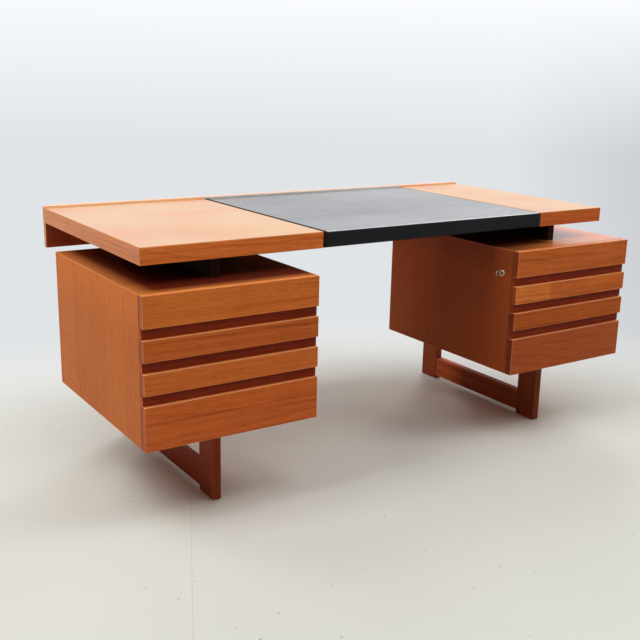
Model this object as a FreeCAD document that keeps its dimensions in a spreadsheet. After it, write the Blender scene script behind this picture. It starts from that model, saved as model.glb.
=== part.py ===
import FreeCAD, Part
import os
import re
import Sketcher

# Executive desk with a floating top, two hanging drawer pedestals and plank leg frames.
# Frame: +Z up, +X to the sitter's right, drawers open along -Y.
# Origin: on the floor, under the middle of the overall width and depth. Lengths are millimetres.

doc = FreeCAD.newDocument("executive_desk")

# Driving dimensions: name, value, what it is
size_rows = [
    # table top
    ("top_width", 1668, "table top, end to end"),
    ("top_depth", 758, "table top, front edge to the back of the apron"),
    ("top_thick", 46, "table top board"),
    ("top_height", 730, "working surface above the floor"),
    ("lip_rise", 6, "apron standing above the working surface"),
    ("apron_thick", 20, "rear apron board"),
    ("apron_height", 129, "rear apron, bottom edge to the top of the lip"),
    ("tongue_thick", 10, "tongue that joins the apron to the top board"),
    ("tongue_depth", 8, "how far the tongue enters the top board"),
    ("tongue_stop", 30, "end of the tongue to the end of the top"),
    ("left_veneer_width", 541, "bare wood left of the leather"),
    ("leather_width", 842, "leather covering, side to side"),
    ("leather_thick", 1.6, "leather"),
    ("leather_turn_under", 45, "leather turned under the front edge"),
    ("leather_seam", 1.2, "open joint between leather and wood"),
    ("leather_arris", 4, "outside radius of the leather at the front edge"),
    # pedestals
    ("pedestal_width", 504, "pedestal, side to side"),
    ("pedestal_depth", 632, "pedestal, drawer faces to the back"),
    ("pedestal_height", 399, "pedestal, bottom to top"),
    ("rail_height", 52, "top rail, pedestal to the underside of the table top"),
    ("end_overhang", 37, "pedestal standing out past the end of the top"),
    ("front_overhang", 96, "drawer faces standing out past the front of the top"),
    ("panel_thick", 18, "carcase panels"),
    ("back_thick", 10, "carcase back"),
    ("arris", 1.2, "eased edges of the woodwork"),
    # drawer faces and the strips between them
    ("front_thick", 22, "drawer faces"),
    ("front_gap", 1, "open joint between a drawer face and the carcase"),
    ("finger_gap", 28, "space between two drawer faces"),
    ("strip_thick", 12, "set-back strips between the drawer faces"),
    ("strip_clearance", 1, "strip to the drawer faces above and below it"),
    ("top_front_height", 83, "face of the top drawer"),
    ("middle_front_height", 57, "face of the second and of the third drawer"),
    # drawer boxes and runners
    ("box_side_thick", 12, "sides and back of a drawer box"),
    ("box_side_gap", 10, "drawer box to carcase panel"),
    ("box_clearance", 4, "drawer box to its opening, above and below"),
    ("box_back_gap", 14, "drawer box to the carcase back"),
    ("bottom_thick", 5, "drawer bottom"),
    ("bottom_rise", 6, "drawer bottom above the lower edge of the box"),
    ("bottom_groove", 5, "depth of the groove that holds the drawer bottom"),
    ("housing_depth", 8, "drawer sides let into the back of the face"),
    ("runner_height", 12, "hardwood runner"),
    ("runner_grip", 6, "depth of the groove that rides on the runner"),
    ("running_clearance", 0.3, "between sliding pieces"),
    ("runner_start_gap", 7, "lock bar to the front end of a runner"),
    # leg frames
    ("leg_thick", 26, "posts and top rail of a leg frame"),
    ("post_width", 82, "posts, front to back"),
    ("post_setback", 111, "drawer faces to the front post"),
    ("stretcher_height", 72, "low stretcher between the posts"),
    ("stretcher_clearance", 14, "floor to the stretcher"),
    ("stretcher_inset", 1.5, "stretcher set in from the faces of the posts"),
    ("tenon_thick", 10, "tenons of the stretcher"),
    ("tenon_length", 45, "how far a tenon enters its post"),
    ("tenon_shoulder", 10, "shoulder above and below a tenon"),
    ("glide_diameter", 20, "floor glides"),
    ("glide_height", 2, "floor glides below the posts"),
    # fasteners
    ("screw_diameter", 6, "wood screws"),
    ("screw_head_diameter", 12, "head of a wood screw"),
    ("screw_head_thick", 3, "head of a wood screw"),
    ("top_screw_bite", 16, "screw in the top board"),
    ("post_screw_bite", 30, "screw in the front post"),
    ("bolt_diameter", 8, "bolts through the rear posts"),
    ("bolt_head_diameter", 18, "head of a bolt"),
    ("bolt_head_thick", 3, "head of a bolt"),
    ("nut_diameter", 14, "round nut inside the carcase"),
    ("nut_thick", 6, "round nut inside the carcase"),
    # lock
    ("lock_setback", 67, "drawer faces to the lock's axis"),
    ("lock_rise", 5, "lock's axis above the lower edge of the top drawer face"),
    ("flange_diameter", 22, "rim of the lock sleeve"),
    ("flange_thick", 2.5, "rim of the lock sleeve"),
    ("sleeve_diameter", 18, "sleeve through the panel"),
    ("plug_diameter", 12, "turning plug"),
    ("plug_recess", 0.5, "plug face behind the rim's face"),
    ("lock_fit", 0.05, "radial clearance of the plug and of the sleeve"),
    ("keyway_width", 2.4, "slot in the plug"),
    ("keyway_height", 7.4, "slot in the plug"),
    ("keyway_depth", 12, "slot in the plug"),
    ("crank_radius", 4, "lock's axis to the crank pin"),
    ("crank_pin_diameter", 3, "pin that lifts the lock bar"),
    ("crank_pin_proud", 0.7, "pin standing out of the lock bar"),
    ("crank_clearance", 0.3, "pin to the slot in the lock bar, above and below"),
    ("crank_slot_length", 7, "slot in the lock bar"),
    ("bar_thick", 3, "lock bar"),
    ("bar_width", 18, "lock bar"),
    ("bar_tail", 20, "lock bar past its outermost lugs"),
    ("lug_height", 6, "lug of the lock bar"),
    ("lug_depth", 10, "lug of the lock bar, front to back"),
    ("lug_gap", 0.8, "lug to its stop block and to the drawer box"),
    ("stop_height", 8, "stop block on a drawer box"),
    ("stop_depth", 8, "stop block on a drawer box, front to back"),
    ("stop_drop", 3, "top of the drawer box to the stop block"),
    ("stop_gap", 1.2, "stop block to the lock bar"),
    ("guide_height", 12, "guide strap of the lock bar"),
    ("guide_thick", 1.5, "guide strap of the lock bar"),
    ("guide_foot", 5, "foot of a guide strap beside the lock bar"),
    ("key_thick", 2, "key"),
    ("key_blade_height", 7, "key blade"),
    ("key_blade_length", 11, "key blade inside the plug"),
    ("key_neck", 5, "plug face to the bow of the key"),
    ("key_bow_diameter", 20, "bow of the key"),
    ("key_bow_hole", 11, "hole in the bow"),
    # cutting allowance
    ("overrun", 5, "how far cutting blocks reach past what they cut"),
]

drawer_numbers = (1, 2, 3, 4)
frame_screw_shares = (0.2, 0.8)
bolt_height_shares = (0.25, 0.75)
post_screw_shares = (0.25, 0.75)
crank_side_share = 0.5 ** 0.5  # a crank at 45 degrees stands this share to the side and below
clear_of_back_share = 0.999  # edges past this share of the slab's depth lie against the apron
parallel_share = 0.001  # how far from a true line or place an edge may lie
sides = {"left": -1, "right": 1}

# Places worked out from the driving dimensions: name, formula
place_rows = [
    ("slab_bottom", "top_height - top_thick"),
    ("front_face", "-(front_overhang + top_depth) / 2"),
    ("top_front", "front_face + front_overhang"),
    ("top_back", "top_front + top_depth"),
    ("slab_back", "top_back - apron_thick"),
    ("slab_depth", "top_depth - apron_thick"),
    ("lip_top", "top_height + lip_rise"),
    ("leather_start", "left_veneer_width - top_width / 2"),
    ("leather_bend", "leather_arris - leather_thick"),
    ("pedestal_top", "slab_bottom - rail_height"),
    ("pedestal_clearance", "pedestal_top - pedestal_height"),
    ("outer_face", "top_width / 2 + end_overhang"),
    ("inner_face", "outer_face - pedestal_width"),
    ("inside_near", "inner_face + panel_thick"),
    ("inside_far", "outer_face - panel_thick"),
    ("inside_width", "inside_far - inside_near"),
    ("inside_bottom", "pedestal_clearance + panel_thick"),
    ("inside_top", "pedestal_top - panel_thick"),
    ("carcase_front", "front_face + front_thick + front_gap"),
    ("carcase_back", "front_face + pedestal_depth"),
    ("carcase_depth", "carcase_back - carcase_front"),
    ("back_front", "carcase_back - back_thick"),
    ("leg_middle", "(inner_face + outer_face) / 2"),
    ("leg_near", "leg_middle - leg_thick / 2"),
    ("post_front", "front_face + post_setback"),
    ("post_back", "post_front + post_width"),
    ("rear_post_back", "carcase_back + post_width"),
    ("stretcher_length", "carcase_back - post_back"),
    ("stretcher_thick", "leg_thick - 2 * stretcher_inset"),
    ("tenon_height", "stretcher_height - 2 * tenon_shoulder"),
    ("rail_length", "carcase_back - post_front"),
    ("bottom_front_height",
     "pedestal_height - top_front_height - 2 * middle_front_height - 3 * finger_gap"),
    ("front_low_1", "pedestal_top - top_front_height"),
    ("front_low_2", "front_low_1 - finger_gap - middle_front_height"),
    ("front_low_3", "front_low_2 - finger_gap - middle_front_height"),
    ("front_low_4", "pedestal_clearance"),
    ("front_height_1", "top_front_height"),
    ("front_height_2", "middle_front_height"),
    ("front_height_3", "middle_front_height"),
    ("front_height_4", "bottom_front_height"),
    ("box_low_1", "front_low_1 + box_clearance"),
    ("box_low_2", "front_low_2 + box_clearance"),
    ("box_low_3", "front_low_3 + box_clearance"),
    ("box_low_4", "inside_bottom + box_clearance"),
    ("box_high_1", "inside_top - box_clearance"),
    ("box_high_2", "front_low_2 + middle_front_height - box_clearance"),
    ("box_high_3", "front_low_3 + middle_front_height - box_clearance"),
    ("box_high_4", "front_low_4 + bottom_front_height - box_clearance"),
    ("front_back", "front_face + front_thick"),
    ("box_back", "back_front - box_back_gap"),
    ("box_near", "inside_near + box_side_gap"),
    ("box_width", "inside_width - 2 * box_side_gap"),
    ("box_inner_width", "box_width - 2 * box_side_thick"),
    ("box_side_front", "front_back - housing_depth"),
    ("box_side_length", "box_back - box_side_front"),
    ("bottom_front", "front_back - bottom_groove"),
    ("bottom_width", "box_inner_width + 2 * bottom_groove"),
    ("lock_axis_y", "front_face + lock_setback"),
    ("lock_axis_z", "front_low_1 + lock_rise"),
    ("crank_arm", f"crank_radius * {crank_side_share}"),
    ("bar_near", "inside_near + running_clearance"),
    ("bar_front", "lock_axis_y - bar_width / 2"),
    ("lug_reach", "box_side_gap - running_clearance - bar_thick - lug_gap"),
    ("stop_front", "lock_axis_y + lug_depth / 2 + lug_gap"),
    ("stop_reach", "box_side_gap - running_clearance - bar_thick - stop_gap"),
    ("lug_fall", "stop_drop + stop_height + lug_gap + lug_height"),
    ("runner_front", "bar_front + bar_width + runner_start_gap"),
    ("runner_length", "back_front - runner_front"),
    ("runner_depth", "box_side_gap + runner_grip - running_clearance"),
    ("runner_groove_height", "runner_height + 2 * running_clearance"),
]
for number in drawer_numbers:
    box_low, box_high = f"box_low_{number}", f"box_high_{number}"
    place_rows.append((f"box_height_{number}", f"{box_high} - {box_low}"))
    place_rows.append((f"runner_low_{number}", f"({box_low} + {box_high} - runner_height) / 2"))
    place_rows.append((f"bottom_low_{number}", f"{box_low} + bottom_rise"))
    place_rows.append((f"lug_low_{number}", f"{box_high} - lug_fall"))
    place_rows.append((f"stop_low_{number}", f"{box_high} - stop_drop - stop_height"))
place_rows.append(("bar_low", "lug_low_4 - bar_tail"))
place_rows.append(("bar_length", "lug_low_1 + lug_height - bar_low"))

sizes = doc.addObject("Spreadsheet::Sheet", "Sizes")
for row, (alias, value, note) in enumerate(size_rows, start=1):
    sizes.set(f"A{row}", note)
    sizes.set(f"B{row}", str(value))
    sizes.setAlias(f"B{row}", alias)
size_names = {row[0] for row in size_rows}
place_names = {row[0] for row in place_rows}


def formula(text):
    """Give each named value in a formula the sheet that holds it."""
    def with_sheet(word):
        if word.group() in size_names:
            return "Sizes." + word.group()
        if word.group() in place_names:
            return "Places." + word.group()
        return word.group()
    return re.sub(r"[a-z][a-z0-9_]*", with_sheet, text)


places = doc.addObject("Spreadsheet::Sheet", "Places")
for row, (alias, text) in enumerate(place_rows, start=1):
    places.set(f"A{row}", alias)
    places.setAlias(f"B{row}", alias)
for row, (alias, text) in enumerate(place_rows, start=1):
    places.set(f"B{row}", "=" + formula(text).replace("Places.", ""))
doc.recompute()


def present(text):
    """Present value of a formula."""
    return float(sizes.evalExpression(formula(text)))


def bind(item, expressions):
    """Tie properties of an object to formulas of named values."""
    for name, text in expressions.items():
        item.setExpression(name, formula(text))


def seat(item, corner):
    """Tie the place of an object to three formulas."""
    bind(item, dict(zip(("Placement.Base.x", "Placement.Base.y", "Placement.Base.z"), corner)))
    return item


def block(label, size, corner):
    """Square-edged block, with its size and its low corner as formulas."""
    item = doc.addObject("Part::Box", label)
    bind(item, dict(zip(("Length", "Width", "Height"), size)))
    return seat(item, corner)


x_axis = FreeCAD.Vector(1, 0, 0)
y_axis = FreeCAD.Vector(0, 1, 0)
z_axis = FreeCAD.Vector(0, 0, 1)
rod_axes = {"x": x_axis, "y": y_axis, "z": z_axis}


def rod(label, diameter, length, start, axis):
    """Round rod along +X, +Y or +Z from its start point."""
    item = doc.addObject("Part::Cylinder", label)
    item.Placement = FreeCAD.Placement(FreeCAD.Vector(), FreeCAD.Rotation(z_axis, rod_axes[axis]))
    bind(item, {"Radius": f"({diameter}) / 2", "Height": length})
    return seat(item, start)


def joined(label, pieces):
    """One solid from pieces that touch or overlap."""
    item = doc.addObject("Part::MultiFuse", label)
    item.Shapes = pieces
    return item


def carved(label, base, tools):
    """Base less its tools, which are joined first."""
    item = doc.addObject("Part::Cut", label)
    item.Base = base
    item.Tool = tools[0] if len(tools) == 1 else joined(label + "_cuts", tools)
    return item


def grouped(label, pieces):
    """Several separate solids under one name."""
    item = doc.addObject("Part::Compound", label)
    item.Links = pieces
    return item


def extruded(label, plane, points, length, corner, flip=False):
    """Body padded from a closed outline, whose points are pairs of formulas."""
    body = doc.addObject("PartDesign::Body", label)
    outline = body.newObject("Sketcher::SketchObject", label + "_outline")
    support = [item for item in body.Origin.OriginFeatures if item.Role == plane][0]
    outline.AttachmentSupport = [(support, "")]
    outline.MapMode = "FlatFace"
    corners = [FreeCAD.Vector(present(across), present(up), 0) for across, up in points]
    following = corners[1:] + corners[:1]
    for here, there in zip(corners, following):
        outline.addGeometry(Part.LineSegment(here, there))
    for index, (across, up) in enumerate(points):
        after = (index + 1) % len(points)
        outline.addConstraint(Sketcher.Constraint("Coincident", index, 2, after, 1))
        for kind, text in (("DistanceX", across), ("DistanceY", up)):
            number = outline.addConstraint(Sketcher.Constraint(kind, -1, 1, index, 1, present(text)))
            outline.setExpression(f"Constraints[{number}]", formula(text))
    pad = body.newObject("PartDesign::Pad", label + "_pad")
    pad.Profile = outline
    pad.Reversed = flip
    bind(pad, {"Length": length})
    seat(body, corner)
    doc.recompute()
    return body


def eased(body, radius, wanted=lambda edge: True):
    """Round the wanted edges of a body."""
    solid = body.Tip
    names = [f"Edge{number}" for number, edge in enumerate(solid.Shape.Edges, start=1) if wanted(edge)]
    rounding = body.newObject("PartDesign::Fillet", solid.Name + "_round")
    rounding.Base = (solid, names)
    bind(rounding, {"Radius": radius})
    doc.recompute()
    return body


def rectangle(width, depth):
    return [("0", "0"), (width, "0"), (width, depth), ("0", depth)]


def plank(label, size, corner):
    """Board with all its edges eased."""
    width, depth, height = size
    return eased(extruded(label, "XY_Plane", rectangle(width, depth), height, corner), "arris")


def beside(side, near, width):
    """Low X of a piece of the given width that starts at a distance from the middle plane."""
    return near if side > 0 else f"-({near}) - ({width})"


parts = []


def keep(item):
    """Count an object among the desk's pieces."""
    parts.append(item)
    return item


# Table top

def leather_wrap(label, length, start, outside):
    """U section over the top, the front edge and part of the underside of the top board.

    Its outer faces stand outside the board by the amount given, its inner faces lie one
    leather thickness inside, with the bend that the leather takes round the front edge.
    """
    front_out, front_in = f"overrun - ({outside})", "overrun + leather_thick"
    top_out, top_in = f"overrun + top_thick + ({outside})", "overrun + top_thick - leather_thick"
    back, under_end = "overrun + slab_depth", "overrun + leather_turn_under"
    points = [(back, top_out), (front_out, top_out), (front_out, front_out), (under_end, front_out),
              (under_end, front_in), (front_in, front_in), (front_in, top_in), (back, top_in)]
    corner = (start, "top_front - overrun", "slab_bottom - overrun")
    body = extruded(label, "YZ_Plane", points, length, corner)
    eased(body, "leather_bend", lambda edge: is_long_edge_at(edge, present(front_in)))
    return body


def is_long_edge_at(edge, depth):
    """True for an edge along X at the given distance from a body's own XZ plane."""
    middle = edge.CenterOfMass
    along = edge.Length - edge.BoundBox.XLength < edge.Length * parallel_share
    return along and abs(middle.y - depth) < present("leather_thick") * parallel_share


def frame_screw_places():
    """Where the screws go up through each top rail: side, distance along Y."""
    return [(name, side, f"post_front + rail_length * {share}")
            for name, side in sides.items() for share in frame_screw_shares]


def table_top():
    slab = extruded("top_slab", "XY_Plane", rectangle("top_width", "slab_depth"), "top_thick",
                    ("-top_width / 2", "top_front", "slab_bottom"))
    eased(slab, "arris", lambda edge: edge.CenterOfMass.y < present("slab_depth") * clear_of_back_share)
    recess = leather_wrap("leather_recess", "leather_width + 2 * leather_seam",
                          "leather_start - leather_seam", "overrun")
    tongue_size = ("top_width - 2 * tongue_stop", "tongue_depth + overrun", "tongue_thick")
    tongue_corner = ("tongue_stop - top_width / 2", "slab_back - tongue_depth",
                     "slab_bottom + (top_thick - tongue_thick) / 2")
    groove = block("tongue_groove", tongue_size, tongue_corner)
    holes = [rod(f"{name}_top_hole", "screw_diameter", "top_screw_bite + overrun",
                 (f"{side} * leg_middle", along, "slab_bottom - overrun"), "z")
             for name, side, along in frame_screw_places()]
    keep(carved("top_board", slab, [recess, groove] + holes))

    cover = leather_wrap("leather_cover", "leather_width", "leather_start", "0")
    keep(eased(cover, "leather_arris", lambda edge: is_long_edge_at(edge, present("overrun"))))

    board = plank("apron_board", ("top_width", "apron_thick", "apron_height"),
                  ("-top_width / 2", "slab_back", "lip_top - apron_height"))
    keep(joined("rear_apron", [board, block("apron_tongue", tongue_size, tongue_corner)]))


# Leg frames

def post_screw_places():
    """Where the screws go down into each front post: side, distance along Y."""
    return [(name, side, f"post_front + post_width * {share}")
            for name, side in sides.items() for share in post_screw_shares]


def bolt_places():
    """Where the bolts pass each rear post: side, height."""
    return [(name, side, f"pedestal_clearance + pedestal_height * {share}")
            for name, side in sides.items() for share in bolt_height_shares]


def leg_frame(name, side):
    near = beside(side, "leg_near", "leg_thick")
    middle = f"{side} * leg_middle"
    tenon_near = f"{middle} - tenon_thick / 2"
    tenon_low = "stretcher_clearance + tenon_shoulder"
    tenon_size = ("tenon_thick", "tenon_length", "tenon_height")

    def tenon(label, along):
        return block(label, tenon_size, (tenon_near, along, tenon_low))

    front_post = plank(f"{name}_front_blank", ("leg_thick", "post_width", "pedestal_clearance - glide_height"),
                       (near, "post_front", "glide_height"))
    screw_holes = [rod(f"{name}_post_hole", "screw_diameter", "post_screw_bite + overrun",
                       (middle, along, "pedestal_clearance - post_screw_bite"), "z")
                   for owner, _, along in post_screw_places() if owner == name]
    front_mortise = tenon(f"{name}_front_mortise", "post_back - tenon_length")
    keep(carved(f"{name}_front_post", front_post, [front_mortise] + screw_holes))

    rear_post = plank(f"{name}_rear_blank", ("leg_thick", "post_width", "slab_bottom - glide_height"),
                      (near, "carcase_back", "glide_height"))
    bolt_holes = [rod(f"{name}_post_bolt_hole", "bolt_diameter", "post_width + 2 * overrun",
                      (middle, "carcase_back - overrun", height), "y")
                  for owner, _, height in bolt_places() if owner == name]
    rear_mortise = tenon(f"{name}_rear_mortise", "carcase_back")
    keep(carved(f"{name}_rear_post", rear_post, [rear_mortise] + bolt_holes))

    board = plank(f"{name}_stretcher_board", ("stretcher_thick", "stretcher_length", "stretcher_height"),
                  (f"{middle} - stretcher_thick / 2", "post_back", "stretcher_clearance"))
    tenons = [tenon(f"{name}_front_tenon", "post_back - tenon_length"),
              tenon(f"{name}_rear_tenon", "carcase_back")]
    keep(joined(f"{name}_stretcher", [board] + tenons))

    rail = plank(f"{name}_rail_blank", ("leg_thick", "rail_length", "rail_height"),
                 (near, "post_front", "pedestal_top"))
    rail_holes = [rod(f"{name}_rail_hole", "screw_diameter", "rail_height + 2 * overrun",
                      (middle, along, "pedestal_top - overrun"), "z")
                  for owner, _, along in frame_screw_places() if owner == name]
    keep(carved(f"{name}_top_rail", rail, rail_holes))


def floor_glides():
    glides = []
    post_starts = {"front": "post_front", "rear": "carcase_back"}
    for name, side in sides.items():
        for place, start in post_starts.items():
            glides.append(rod(f"{name}_{place}_glide", "glide_diameter", "glide_height",
                              (f"{side} * leg_middle", f"{start} + post_width / 2", "0"), "z"))
    keep(grouped("floor_glides", glides))


# Fasteners

def screw(label, length, start, head_start):
    """Upright wood screw with a flat round head."""
    shank = rod(f"{label}_shank", "screw_diameter", length, start, "z")
    head = rod(f"{label}_head", "screw_head_diameter", "screw_head_thick", head_start, "z")
    return joined(label, [shank, head])


def wood_screws():
    screws = []
    for name, side, along in frame_screw_places():
        middle = f"{side} * leg_middle"
        screws.append(screw(f"{name}_top_screw", "panel_thick + rail_height + top_screw_bite",
                            (middle, along, "inside_top"), (middle, along, "inside_top - screw_head_thick")))
    for name, side, along in post_screw_places():
        middle = f"{side} * leg_middle"
        screws.append(screw(f"{name}_post_screw", "post_screw_bite + panel_thick",
                            (middle, along, "pedestal_clearance - post_screw_bite"),
                            (middle, along, "inside_bottom")))
    keep(grouped("wood_screws", screws))


def post_bolts():
    bolts = []
    for name, side, height in bolt_places():
        middle = f"{side} * leg_middle"
        shank = rod(f"{name}_bolt_shank", "bolt_diameter", "nut_thick + back_thick + post_width",
                    (middle, "back_front - nut_thick", height), "y")
        head = rod(f"{name}_bolt_head", "bolt_head_diameter", "bolt_head_thick",
                   (middle, "rear_post_back", height), "y")
        nut = rod(f"{name}_bolt_nut", "nut_diameter", "nut_thick",
                  (middle, "back_front - nut_thick", height), "y")
        bolts.append(joined(f"{name}_bolt", [shank, head, nut]))
    keep(grouped("post_bolts", bolts))


# Pedestals

def carcase(name, side):
    """Mitred box of four panels with an inset back, set-back strips and runners."""
    width, height, wall, half = "pedestal_width", "pedestal_height", "panel_thick", "arris / 2"
    low_x = beside(side, "inner_face", width)
    upright = [("0", "arris"), (half, half), (wall, wall), (wall, f"{height} - {wall}"),
               (half, f"{height} - {half}"), ("0", f"{height} - arris")]
    upright_mirrored = [(f"{wall} - ({across})", up) for across, up in upright]
    lying = [(half, half), ("arris", "0"), (f"{width} - arris", "0"), (f"{width} - {half}", half),
             (f"{width} - {wall}", wall), (wall, wall)]
    lying_mirrored = [(across, f"{wall} - ({up})") for across, up in lying]

    def panel(label, points, across, low_z):
        corner = (across, "carcase_front", low_z)
        return extruded(label, "XZ_Plane", points, "carcase_depth", corner, flip=True)

    inner_outline, outer_outline = (upright, upright_mirrored)[::side]
    keep(panel(f"{name}_outer_side", outer_outline, beside(side, "inside_far", wall), "pedestal_clearance"))
    inner = panel(f"{name}_inner_blank", inner_outline, beside(side, "inner_face", wall), "pedestal_clearance")
    lock_hole = rod(f"{name}_lock_hole", "sleeve_diameter + 2 * lock_fit", "panel_thick + 2 * overrun",
                    (beside(side, "inner_face - overrun", "panel_thick + 2 * overrun"),
                     "lock_axis_y", "lock_axis_z"), "x")
    keep(carved(f"{name}_inner_side", inner, [lock_hole]))

    middle = f"{side} * leg_middle"
    lid = panel(f"{name}_lid_blank", lying_mirrored, low_x, "inside_top")
    lid_holes = [rod(f"{name}_lid_hole", "screw_diameter", "panel_thick + 2 * overrun",
                     (middle, along, "inside_top - overrun"), "z")
                 for owner, _, along in frame_screw_places() if owner == name]
    keep(carved(f"{name}_pedestal_top", lid, lid_holes))
    floor = panel(f"{name}_floor_blank", lying, low_x, "pedestal_clearance")
    floor_holes = [rod(f"{name}_floor_hole", "screw_diameter", "panel_thick + 2 * overrun",
                       (middle, along, "pedestal_clearance - overrun"), "z")
                   for owner, _, along in post_screw_places() if owner == name]
    keep(carved(f"{name}_pedestal_bottom", floor, floor_holes))

    back = block(f"{name}_back_blank", ("inside_width", "back_thick", "inside_top - inside_bottom"),
                 (beside(side, "inside_near", "inside_width"), "back_front", "inside_bottom"))
    back_holes = [rod(f"{name}_back_hole", "bolt_diameter", "back_thick + 2 * overrun",
                      (middle, "back_front - overrun", height_formula), "y")
                  for owner, _, height_formula in bolt_places() if owner == name]
    keep(carved(f"{name}_pedestal_back", back, back_holes))

    strip_size = (width, "strip_thick", "finger_gap - 2 * strip_clearance")
    strips = [block(f"{name}_strip_{number}", strip_size,
                    (low_x, "carcase_front - strip_thick",
                     f"front_low_{number} - finger_gap + strip_clearance"))
              for number in drawer_numbers[:-1]]
    keep(grouped(f"{name}_finger_strips", strips))

    runner_size = ("runner_depth", "runner_length", "runner_height")
    runners = [block(f"{name}_runner_{number}", runner_size,
                     (beside(side, start, "runner_depth"), "runner_front", f"runner_low_{number}"))
               for number in drawer_numbers for start in ("inside_near", "inside_far - runner_depth")]
    keep(grouped(f"{name}_drawer_runners", runners))


# Drawers

def drawer(name, side, number):
    """Face with a grooved box behind it; the box's sides are let into the face."""
    label = f"{name}_drawer_{number}"
    box_low, box_height = f"box_low_{number}", f"box_height_{number}"
    bottom_low = f"bottom_low_{number}"
    near_start, far_start = "box_near", "box_near + box_width - box_side_thick"
    bottom_start = "box_near + box_side_thick - bottom_groove"
    bottom_length = "box_back - bottom_front"

    face = plank(f"{label}_face", ("pedestal_width", "front_thick", f"front_height_{number}"),
                 (beside(side, "inner_face", "pedestal_width"), "front_face", f"front_low_{number}"))
    housings = [block(f"{label}_housing", ("box_side_thick", "housing_depth + overrun", box_height),
                      (beside(side, start, "box_side_thick"), "box_side_front", box_low))
                for start in (near_start, far_start)]
    face_groove = block(f"{label}_face_groove", ("bottom_width", "bottom_groove + overrun", "bottom_thick"),
                        (beside(side, bottom_start, "bottom_width"), "bottom_front", bottom_low))
    keep(carved(f"{label}_front", face, housings + [face_groove]))

    def box_side(place, start, groove_start, bottom_groove_start):
        board = block(f"{label}_{place}_board", ("box_side_thick", "box_side_length", box_height),
                      (beside(side, start, "box_side_thick"), "box_side_front", box_low))
        groove_width = "runner_grip + overrun"
        groove = block(f"{label}_{place}_runner_groove",
                       (groove_width, "box_back - runner_front + running_clearance + overrun",
                        "runner_groove_height"),
                       (beside(side, groove_start, groove_width), "runner_front - running_clearance",
                        f"runner_low_{number} - running_clearance"))
        slot_width = "bottom_groove + overrun"
        slot = block(f"{label}_{place}_bottom_groove",
                     (slot_width, f"{bottom_length} + overrun", "bottom_thick"),
                     (beside(side, bottom_groove_start, slot_width), "bottom_front", bottom_low))
        return carved(f"{label}_{place}_side", board, [groove, slot])

    near_side = box_side("near", near_start, f"{near_start} - overrun", bottom_start)
    far_side = box_side("far", far_start, "box_near + box_width - runner_grip", f"{far_start} - overrun")
    back_size = ("box_inner_width", "box_side_thick", f"{box_height} - bottom_rise - bottom_thick")
    back = block(f"{label}_back", back_size,
                 (beside(side, "box_near + box_side_thick", "box_inner_width"), "box_back - box_side_thick",
                  f"{bottom_low} + bottom_thick"))
    stop = block(f"{label}_stop", ("stop_reach", "stop_depth", "stop_height"),
                 (beside(side, "box_near - stop_reach", "stop_reach"), "stop_front", f"stop_low_{number}"))
    keep(grouped(f"{label}_box", [near_side, far_side, back, stop]))

    keep(block(f"{label}_bottom", ("bottom_width", bottom_length, "bottom_thick"),
               (beside(side, bottom_start, "bottom_width"), "bottom_front", bottom_low)))


# Locks

def lock(name, side):
    """Sleeve, turning plug with a crank pin, and a bar with one lug for each drawer."""
    def turned(label, diameter, start, length):
        return rod(label, diameter, length, (beside(side, start, length), "lock_axis_y", "lock_axis_z"), "x")

    rim_start = "inner_face - flange_thick"
    rim = turned(f"{name}_lock_rim", "flange_diameter", rim_start, "flange_thick")
    barrel = turned(f"{name}_lock_barrel", "sleeve_diameter", "inner_face", "panel_thick")
    bore = turned(f"{name}_lock_bore", "plug_diameter + 2 * lock_fit", f"{rim_start} - overrun",
                  "flange_thick + panel_thick + 2 * overrun")
    keep(carved(f"{name}_lock_sleeve", joined(f"{name}_sleeve_blank", [rim, barrel]), [bore]))

    face = f"{rim_start} + plug_recess"
    core = turned(f"{name}_plug_core", "plug_diameter", face, "flange_thick - plug_recess + panel_thick")
    keyway_length = "overrun + keyway_depth"
    keyway = block(f"{name}_keyway", (keyway_length, "keyway_width", "keyway_height"),
                   (beside(side, f"{face} - overrun", keyway_length), "lock_axis_y - keyway_width / 2",
                    "lock_axis_z - keyway_height / 2"))
    pin_root = "inside_near - crank_pin_diameter"
    pin_length = "crank_pin_diameter + running_clearance + bar_thick + crank_pin_proud"
    pin = rod(f"{name}_crank_pin", "crank_pin_diameter", pin_length,
              (beside(side, pin_root, pin_length), "lock_axis_y + crank_arm", "lock_axis_z - crank_arm"), "x")
    keep(joined(f"{name}_lock_plug", [carved(f"{name}_plug_slotted", core, [keyway]), pin]))

    strip = block(f"{name}_bar_strip", ("bar_thick", "bar_width", "bar_length"),
                  (beside(side, "bar_near", "bar_thick"), "bar_front", "bar_low"))
    lugs = [block(f"{name}_lug_{number}", ("lug_reach", "lug_depth", "lug_height"),
                  (beside(side, "bar_near + bar_thick", "lug_reach"), "lock_axis_y - lug_depth / 2",
                   f"lug_low_{number}"))
            for number in drawer_numbers]
    slot_height = "crank_pin_diameter + 2 * crank_clearance"
    slot = block(f"{name}_crank_slot", ("bar_thick + 2 * overrun", "crank_slot_length", slot_height),
                 (beside(side, "bar_near - overrun", "bar_thick + 2 * overrun"),
                  "lock_axis_y + (crank_arm + crank_radius - crank_slot_length) / 2",
                  f"lock_axis_z - crank_arm - ({slot_height}) / 2"))
    keep(carved(f"{name}_lock_bar", joined(f"{name}_bar_blank", [strip] + lugs), [slot]))


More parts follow.
